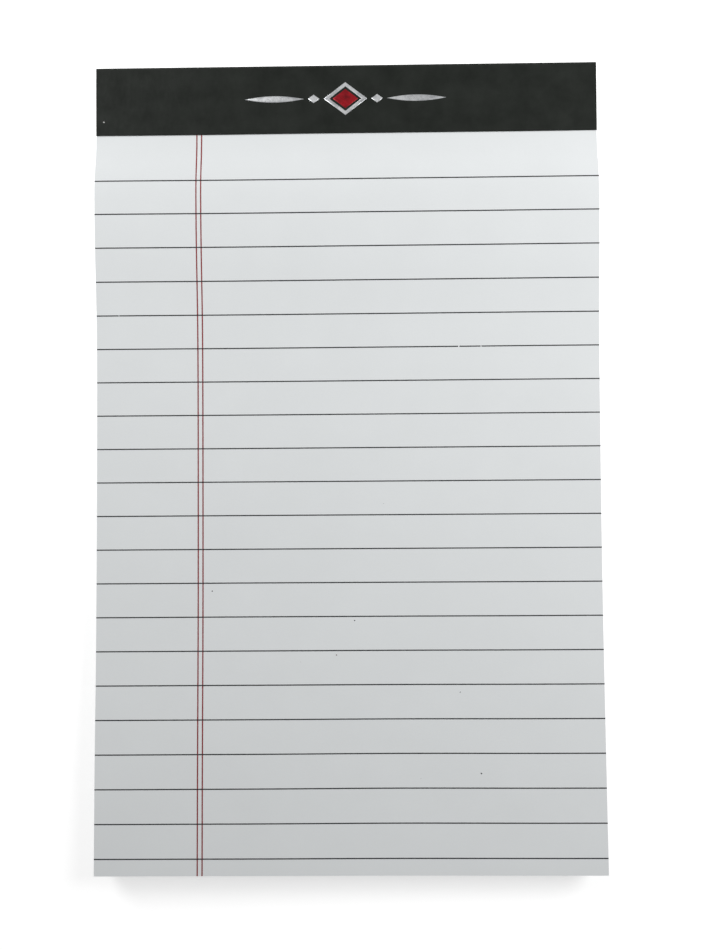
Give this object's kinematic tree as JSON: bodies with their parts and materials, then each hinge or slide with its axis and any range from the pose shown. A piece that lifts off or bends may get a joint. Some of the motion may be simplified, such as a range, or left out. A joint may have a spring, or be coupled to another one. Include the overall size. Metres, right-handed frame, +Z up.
{
  "type": "legal pad",
  "caption": "Small top-bound writing pad: ruled white leaves with a double red margin rule, black leatherette binding folded over the head, chipboard back.",
  "frame": {"origin": "middle of the pad's back, on the surface it lies on", "axes": "+Z up out of the writing face, +Y towards the bound head, +X to the reader's right, so the margin rule is on the -X side"},
  "size_m": [0.127, 0.2032, 0.0081],
  "materials": {
    "chipboard": "matte",
    "paper": "matte",
    "leatherette": "matte",
    "wire": "satin",
    "rule_ink": "matte",
    "margin_ink": "matte",
    "silver_foil": "polished",
    "red_foil": "polished"
  },
  "bodies": {
    "root": {"backing_board": "chipboard", "ruled_sheets": "paper", "binding_strip": "leatherette", "staples": "wire", "rule_lines": "rule_ink", "margin_lines": "margin_ink", "silver_foil": "silver_foil", "red_foil": "red_foil"}
  },
  "joints": []
}
